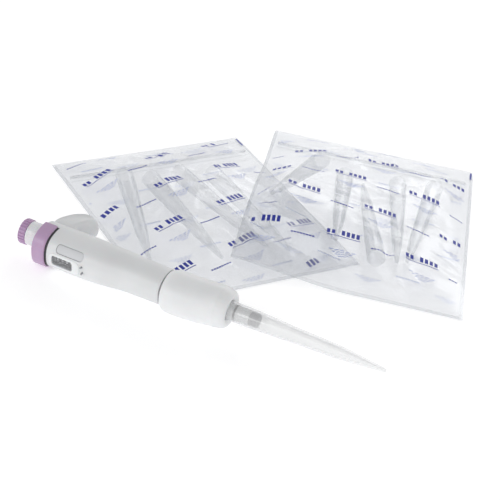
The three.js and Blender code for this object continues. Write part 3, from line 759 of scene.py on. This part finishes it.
def tops(lines, x, y, low):
    """The height of the tips' upper sides over a grid, and `low` beside them."""
    outside = np.array(TIP_OUTSIDE)
    height = np.full(x.shape, float(low))
    for rim, point in lines:
        span_ = (point - rim)[:2]
        t = np.clip(((x - rim[0]) * span_[0] + (y - rim[1]) * span_[1]) / (span_ @ span_), -0.01, 1.01)
        away = np.hypot(x - rim[0] - span_[0] * t, y - rim[1] - span_[1] * t)
        radius = np.interp(t * 120, outside[:, 0], outside[:, 1]) + FILM_CLEARANCE
        over = away < radius
        crown = rim[2] + (point[2] - rim[2]) * t + np.sqrt(np.maximum(radius**2 - away**2, 0))
        height = np.where(over, np.maximum(height, crown), height)
    return height


def creases(bag, across, down, lines, seed, count):
    """Sharp folds: short random ones, and longer ones that run out from the tips' ends."""
    rng = np.random.default_rng(seed)
    folds = []
    for _ in range(count):
        centre = rng.uniform((8, 8), (bag["width"] - 8, bag["length"] - 8))
        turn, reach = rng.uniform(0, math.pi), rng.uniform(12, 42)
        folds.append((*centre, turn, reach, rng.uniform(2.5, 8), rng.uniform(-1.1, 1.3)))
    for rim, point in lines:
        for end, other in ((rim, point), (point, rim)):
            a, d = place_in(bag, end[0], end[1])
            ao, do = place_in(bag, other[0], other[1])
            out = math.atan2(d - do, a - ao)
            for _ in range(3):
                turn = out + rng.uniform(-0.9, 0.9)
                reach = rng.uniform(14, 30)
                middle = a + math.cos(turn) * reach, d + math.sin(turn) * reach
                folds.append((*middle, turn, reach, rng.uniform(3, 6), rng.uniform(0.7, 1.8)))
    total = np.zeros(across.shape)
    for a, d, turn, reach, wide, tall in folds:
        u = (across - a) * math.cos(turn) + (down - d) * math.sin(turn)
        bow = 0.004 * u**2 * math.sin(7 * turn)
        v = -(across - a) * math.sin(turn) + (down - d) * math.cos(turn) + bow
        along = np.clip(1 - (u / reach) ** 2, 0, 1)
        total += tall * along * np.clip(1 - np.sqrt(v**2 + 0.3) / wide, 0, 1)
    return total


def sheet_mesh(name, bag, across, down, height):
    x, y = plan(bag, across, down)
    points = np.stack([x, y, height], -1).reshape(-1, 3)
    rows, columns = height.shape
    ids = np.arange(rows * columns).reshape(rows, columns)
    faces = np.stack([ids[1:, :-1], ids[1:, 1:], ids[:-1, 1:], ids[:-1, :-1]], -1).reshape(-1, 4)
    mesh = bpy.data.meshes.new(name)
    mesh.from_pydata(points.tolist(), [], faces.tolist())
    return link(name, mesh)


def films(name, ground, seed):
    """Heights of a bag's two films. `ground` gives what the bag lies on at places in plan."""
    bag = BAGS[name]
    columns, rows = (round(bag[side] / CELL) + 1 for side in ("width", "length"))
    across, down = np.meshgrid(np.linspace(0, bag["width"], columns), np.linspace(0, bag["length"], rows))
    x, y = plan(bag, across, down)
    floor = ground(x, y)
    back = floor.copy()
    for _ in range(BACK_STEPS):
        back = np.maximum(floor, average(back) - PRESS)
    edge = np.minimum.reduce([across, bag["width"] - across, down, bag["length"] - down])
    rim = edge < 0.1
    lines = tip_lines(name)
    obstacle = np.maximum(tops(lines, x, y, -1), back + 0.25)
    zip_line = np.abs(down - ZIP_INSET) < 1.8
    obstacle = np.where(zip_line & (edge > 10), np.maximum(obstacle, back + ZIP_HEIGHT), obstacle)
    front = obstacle.copy()
    low_edge = back + 0.2
    for _ in range(FRONT_STEPS):
        front = np.maximum(obstacle, average(front) + PRESS)
        front = np.where(rim, low_edge, front)
    calm = np.clip((edge - 3) / 14, 0, 1)
    front = front + calm * creases(bag, across, down, lines, seed, FOLDS)
    front = np.where(rim, low_edge, np.maximum(front, obstacle))
    wrinkle = creases(bag, across, down, [], seed + 50, BACK_FOLDS)
    back = np.minimum(back + np.abs(wrinkle) * 0.4 * calm, np.maximum(back, front - 0.3))
    return bag, across, down, front, np.maximum(back, floor)


def ribbon(name, bag, grid, strokes, width, lift):
    """Printed strokes as narrow strips that follow a film. A stroke is a list of (across, down)."""
    points, faces = [], []
    for stroke in strokes:
        line = np.array(stroke, float)
        lengths = np.concatenate([[0], np.cumsum(np.hypot(*np.diff(line, axis=0).T))])
        count = max(2, int(lengths[-1] / 1.2) + 1)
        at = np.linspace(0, lengths[-1], count)
        a, d = np.interp(at, lengths, line[:, 0]), np.interp(at, lengths, line[:, 1])
        ta, td = np.gradient(a), np.gradient(d)
        size = np.hypot(ta, td) + 1e-9
        na, nd = -td / size * width / 2, ta / size * width / 2
        first = len(points)
        for sign in (-1, 1):
            aa, dd = a + sign * na, d + sign * nd
            x, y = plan(bag, aa, dd)
            z = sample(grid, bag, aa, dd) + lift
            points += list(zip(x, y, z))
        for k in range(count - 1):
            faces.append((first + k, first + k + 1, first + count + k + 1, first + count + k))
    mesh = bpy.data.meshes.new(name)
    mesh.from_pydata([tuple(p) for p in points], [], faces)
    return link(name, mesh)


def motif_blocks(a, d, turn):
    """A row of solid blocks of uneven height: a plain printed mark."""
    strokes = []
    for k, tall in BLOCKS.items():
        x = BLOCK_PITCH * k - 12
        strokes.append([(x, BLOCK_FOOT), (x, BLOCK_FOOT - tall)])
    return turned_strokes(strokes, a, d, turn)


def motif_rule(a, d, turn):
    """The line under the blocks."""
    return turned_strokes([[(-13, 3.6), (13.5, 3.6)]], a, d, turn)


def motif_fan(a, d, turn):
    """Rows of fine short strokes that narrow downwards."""
    strokes = []
    for row in range(4):
        half = 11 - 2.6 * row
        for k in range(5):
            start = -half + 2 * half * k / 5
            strokes.append([(start, 1.7 * row), (start + 0.3 * half, 1.7 * row - 0.5)])
    return turned_strokes(strokes, a, d, turn)


def motif_dash(a, d, turn):
    return turned_strokes([[(2.4 * k - 8.4, 0), (2.4 * k - 6.6, 0)] for k in range(8)], a, d, turn)


def turned_strokes(strokes, a, d, turn):
    c, s = math.cos(turn), math.sin(turn)
    return [[(a + c * u - s * v, d + s * u + c * v) for u, v in stroke] for stroke in strokes]


def lattice(seed, slant):
    """Places of the printed repeats: staggered rows that run askew over the film."""
    rng = np.random.default_rng(seed)
    start_a, start_d = rng.uniform(-20, 20, 2)
    for i in range(-3, 7):
        for j in range(-3, 9):
            a = start_a + REPEAT_ACROSS * i + STAGGER * (j % 2)
            d = start_d + REPEAT_DOWN * j
            yield a * math.cos(slant) - d * math.sin(slant), a * math.sin(slant) + d * math.cos(slant)


def inside(bag, stroke, margin):
    w, l = bag["width"], bag["length"]
    return all(margin < a < w - margin and margin < d < l - margin for a, d in stroke)


def prints(name, bag, grid, lift, seed, slant, body, bold, light, with_blocks=True):
    blocks, rules, fans, dashes = [], [], [], []
    for a, d in lattice(seed, slant):
        if with_blocks:
            blocks += motif_blocks(a, d, slant)
            rules += motif_rule(a, d, slant)
        fans += motif_fan(a + 2, d + 17, slant)
        dashes += motif_dash(a + 31, d + 7, slant + 0.05)
    sets = (
        ("blocks", blocks, 2.6, bold), ("rules", rules, 0.7, bold),
        ("dashes", dashes, 1.3, bold), ("fans", fans, 0.55, light),
    )
    for suffix, strokes, width, ink in sets:
        kept = [stroke for stroke in strokes if inside(bag, stroke, 6)]
        if not kept:
            continue
        obj = ribbon(f"{name}_print_{suffix}", bag, grid, kept, width, lift)
        place(obj, body, ink, matrix=Matrix.Scale(MM, 4))


def weld(name, bag, front, body):
    """The pressed seams along a bag's sides and foot."""
    w, l = bag["width"], bag["length"]
    inset = 1.6
    lines = [[(inset, 2), (inset, l - inset), (w - inset, l - inset), (w - inset, 2)]]
    obj = ribbon(f"{name}_weld", bag, front, lines, 2.6, 0.12)
    place(obj, body, WELD_CLEAR, matrix=Matrix.Scale(MM, 4))
    edge = 0.2
    sides = [(edge, 0), (edge, l - edge), (w - edge, l - edge), (w - edge, 0)]
    rim = ribbon(f"{name}_cut_edge", bag, front, [sides, [(0, edge), (w, edge)]], 0.35, 0.16)
    place(rim, body, ZIP_CLEAR, matrix=Matrix.Scale(MM, 4))


def tube(name, bag, line, radius, body, material, node, sides=12):
    a, d, z = (np.array(c) for c in line)
    x, y = plan(bag, a, d)
    path = np.stack([x, y, z], -1)
    tangent = np.gradient(path, axis=0)
    tangent /= np.linalg.norm(tangent, axis=1)[:, None]
    side = np.cross(tangent, (0, 0, 1))
    side /= np.linalg.norm(side, axis=1)[:, None]
    up = np.cross(side, tangent)
    angles = np.arange(sides) * 2 * math.pi / sides
    wide, tall = radius
    rings = []
    for p, s, u in zip(path, side, up):
        rings.append(p + np.outer(np.cos(angles) * wide, s) + np.outer(np.sin(angles) * tall, u))
    place(rings_solid(name, rings), body, material, [node], Matrix.Scale(MM, 4))


def zip_track(name, bag, back, body):
    a = np.linspace(6, bag["width"] - 6, 80)
    d = np.full(80, float(ZIP_INSET))
    base = sample(back, bag, a, d)
    for suffix, lift, size in (("rib", 1.1, (0.9, 0.55)), ("groove", 2.5, (1.5, 0.6))):
        node = f"{name}_zip_{suffix}"
        tube(f"{node}_profile", bag, (a, d, base + lift), size, body, ZIP_CLEAR, node)
    for k, d in enumerate((ZIP_INSET - 4, ZIP_INSET + 4)):
        strip = ribbon(f"{name}_zip_line_{k + 1}", bag, back, [[(6, d), (bag["width"] - 6, d)]], 0.5, 0.2)
        place(strip, body, WELD_CLEAR, matrix=Matrix.Scale(MM, 4))


def make_bag(name, ground, seed, slant, under):
    bag, across, down, front, back = films(name, ground, seed)
    rests = {"front": [f"{name}_tip_1"], "back": under}
    for side, grid in (("front", front), ("back", back)):
        obj = sheet_mesh(f"{name}_{side}_sheet", bag, across, down, grid)
        film = [f"{name}_{side}_film"]
        place(obj, name, FILM_CLEAR, film, Matrix.Scale(MM, 4), math.radians(80))
        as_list(rests[side])
    prints(f"{name}_front", bag, front, 0.1, seed, slant, name, INK, INK_LIGHT)
    faint = (name, INK_FAINT, INK_FAINT)
    prints(f"{name}_back", bag, back, 0.08, seed + 7, slant + 0.12, *faint, with_blocks=False)
    weld(name, bag, front, name)
    zip_track(name, bag, back, name)
    a = bag["width"] - 2.2
    mark = ribbon(f"{name}_corner_mark", bag, front, [[(a, 3), (a, 15)]], 1.6, 0.2)
    place(mark, name, INK, matrix=Matrix.Scale(MM, 4))
    return bag, front


def lying_on(bag, grid):
    """What lies under the second bag: the first bag's top, and the table beside it."""
    def ground(x, y):
        a, d = place_in(bag, x, y)
        within = (a > 0) & (a < bag["width"]) & (d > 0) & (d < bag["length"])
        return np.where(within, sample(grid, bag, a, d) + 0.4, 0.15)
    return ground


# ---- stage -----------------------------------------------------------------------------
def stage():
    mesh = bpy.data.meshes.new("table_top")
    half, top = 4, -0.0004
    corners = [(-half, -half, top), (half, -half, top), (half, half, top), (-half, half, top)]
    mesh.from_pydata(corners, [], [(0, 1, 2, 3)])
    floor = link("table_top", mesh)
    g = Graph("pale_table")
    inputs = {
        "Base Color": (0.93, 0.93, 0.935, 1), "Roughness": 0.6, "Specular IOR Level": 0.2,
        "Emission Color": (1, 1, 1, 1), "Emission Strength": 0.35,
    }
    mesh.materials.append(g.done(g.add("BsdfPrincipled", inputs).outputs[0]))


def area(name, place_, aim, size, power):
    light = bpy.data.lights.new(name, "AREA")
    light.shape = "RECTANGLE"
    light.size, light.size_y = size
    light.energy = power
    obj = bpy.data.objects.new(name, light)
    bpy.context.scene.collection.objects.link(obj)
    obj.location = place_
    obj.rotation_mode = "QUATERNION"
    obj.rotation_quaternion = (Vector(aim) - Vector(place_)).to_track_quat("-Z", "Y")


# the sky's strength, from its height near the horizon to its height near the zenith
SKY = {"From Min": 0.1, "From Max": 0.95, "To Min": 1.02, "To Max": 0.42}


def lights():
    """A sky that is bright all round and dimmer overhead, a front key and a low light from behind."""
    world = bpy.data.worlds.new("studio")
    bpy.context.scene.world = world
    world.use_nodes = True
    background = world.node_tree.nodes["Background"]
    background.inputs["Color"].default_value = (1, 1, 1, 1)
    nodes, wires = world.node_tree.nodes, world.node_tree.links
    direction = nodes.new("ShaderNodeTexCoord")
    parts = nodes.new("ShaderNodeSeparateXYZ")
    strength = nodes.new("ShaderNodeMapRange")
    for socket, value in SKY.items():
        strength.inputs[socket].default_value = value
    wires.new(direction.outputs["Generated"], parts.inputs[0])
    wires.new(parts.outputs[2], strength.inputs["Value"])
    wires.new(strength.outputs[0], background.inputs["Strength"])
    area("key", (-0.7, -1.3, 0.75), (-0.02, -0.08, 0), (1.0, 0.6), 4)
    area("back", (0.1, 1.5, 0.9), (-0.02, -0.08, 0), (1.6, 0.5), 6)
    scene = bpy.context.scene
    scene.cycles.transparent_max_bounces = 48
    scene.view_settings.view_transform = "Standard"
    scene.view_settings.look = "None"


def camera():
    tip_end = Vector((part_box("mounted_tip")[1].x, AXIS.y, 0))
    data = bpy.data.cameras.new("camera")
    data.sensor_width = 36
    data.lens = 100.8
    obj = bpy.data.objects.new("camera", data)
    bpy.context.scene.collection.objects.link(obj)
    obj.location = tip_end + Vector((0.1807, -0.7438, 0.5872))
    look = tip_end + Vector((-0.1501, 0.1014, 0)) - obj.location
    obj.rotation_mode = "QUATERNION"
    obj.rotation_quaternion = look.to_track_quat("-Z", "Y") @ Quaternion((0, 0, 1), math.radians(8.4))
    bpy.context.scene.camera = obj


# ---- the rest of the CAD nodes keep their shapes ---------------------------------------
KEPT = {
    STEEL: [
        "operating_rod", "stop_collar", "volume_stop_nut", "blow_out_washer", "counter_axle",
        "counter_pinion", "ejector_rod", "blow_out_spring", "adjustment_screw",
    ],
    PALE: ["cylinder_cone"],
    INNER: [
        "drive_sleeve", "stem_bearing", "counter_carrier", "coupling_ring", "spring_seat",
        "ejector_spring_seat", "sleeve_clip", "drive_gear", "piston",
    ],
    RUBBER: ["piston_seal"],
}


# [joint, station of the end that stays still, travel]
SPRINGS = {"return_spring": ("plunger_slide", 96, 13.8), "ejector_spring": ("ejector_slide", 74.7, 8)}


def springs():
    """The two springs, copied from their CAD solids."""
    for node, (joint, fixed_end, travel) in SPRINGS.items():
        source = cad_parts[node]
        mesh = source.data.copy()
        mesh.transform(source.matrix_world)
        low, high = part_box(node)
        obj = place(link(f"{node}_wire", mesh), "handle", STEEL, [node], Matrix.Identity(4))
        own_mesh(obj)


def dress_kept_nodes():
    for material, names in KEPT.items():
        for name in names:
            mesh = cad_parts[name].data
            mesh.materials.clear()
            mesh.materials.append(material)


camera()
stage()
lights()
dress_kept_nodes()
button_cap()
button_stem()
ejector_collar()
handle_shell()
window_frame()
wall_patch("display_glass", WINDOW, -0.1, 1.1, WINDOW_CLEAR, "display_window")
wall_patch("adjustment_lid", COVER, -0.4, 1, INNER, "adjustment_cover")
finger_hook()
painted_gap_shade()
handle_marks()
wheel("wheel_ones", 0, "ones_wheel", SHOWN[0])
wheel("wheel_tenths", 1, "tenths_wheel", SHOWN[1])
wheel("wheel_hundredths", 2, "hundredths_wheel", SHOWN[2])
fine_scale()
ejector_sleeve()
cone_details()
springs()
tips()
first_bag, first_front = make_bag("bag_1", lambda x, y: np.full(x.shape, 0.15), 11, -0.25, [])
make_bag("bag_2", lying_on(first_bag, first_front), 23, -0.05, ["bag_1_front_sheet"])
